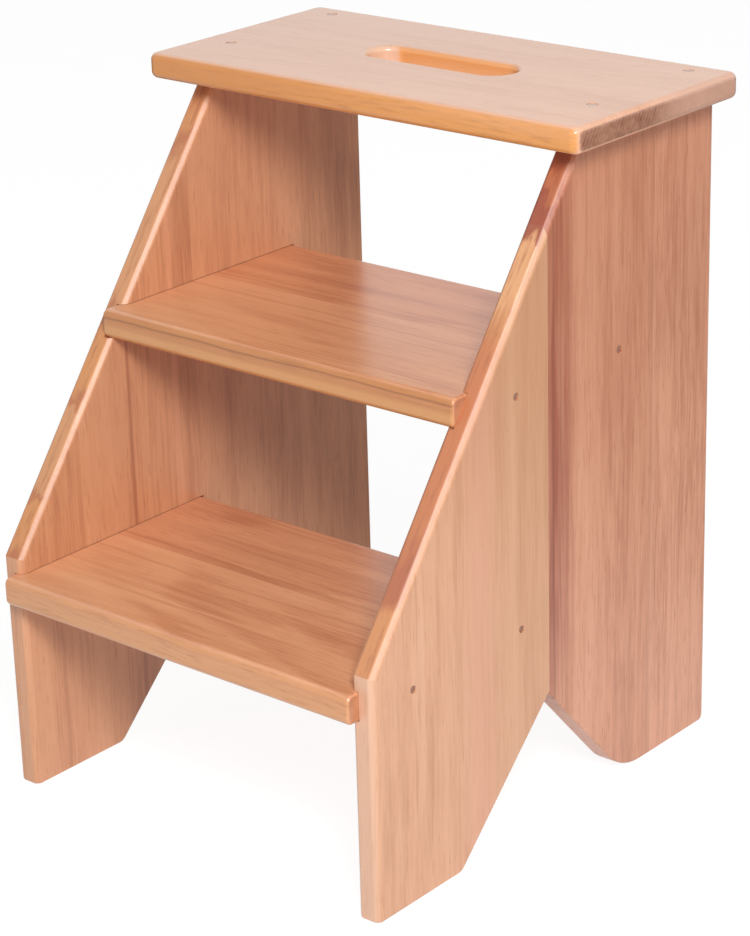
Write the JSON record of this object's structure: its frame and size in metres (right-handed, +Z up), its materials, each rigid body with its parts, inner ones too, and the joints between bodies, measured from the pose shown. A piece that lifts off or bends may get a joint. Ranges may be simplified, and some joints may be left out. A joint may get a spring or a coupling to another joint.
{
  "type": "step ladder",
  "caption": "Low fixed wooden step ladder with notched side panels, housed treads that project in front, and a top board with a rounded hand slot for carrying",
  "frame": {"origin": "on the floor under the middle of the overall box", "axes": "+Z up, -Y to the front where the treads project, +X to the right seen from the front"},
  "size_m": [0.384, 0.3936, 0.501],
  "materials": {
    "wood_top": "clear satin lacquer",
    "wood_tread": "clear satin lacquer",
    "wood_side_front": "clear satin lacquer",
    "wood_side_rear": "clear satin lacquer",
    "wood_plug": "clear satin lacquer",
    "steel_screw": "zinc plated"
  },
  "bodies": {
    "root": {"top_board": "wood_top", "middle_tread_front_stave": "wood_tread", "middle_tread_rear_stave": "wood_tread", "bottom_tread_front_stave": "wood_tread", "bottom_tread_rear_stave": "wood_tread", "left_side_front_board": "wood_side_front", "left_side_middle_board": "wood_side_rear", "left_side_rear_board": "wood_side_rear", "right_side_front_board": "wood_side_front", "right_side_middle_board": "wood_side_rear", "right_side_rear_board": "wood_side_rear", "left_top_plugs": "wood_plug", "right_top_plugs": "wood_plug", "left_middle_tread_plugs": "wood_plug", "right_middle_tread_plugs": "wood_plug", "left_bottom_tread_plugs": "wood_plug", "right_bottom_tread_plugs": "wood_plug", "left_top_screws": "steel_screw", "right_top_screws": "steel_screw", "left_middle_tread_screws": "steel_screw", "right_middle_tread_screws": "steel_screw", "left_bottom_tread_screws": "steel_screw", "right_bottom_tread_screws": "steel_screw"}
  },
  "joints": []
}
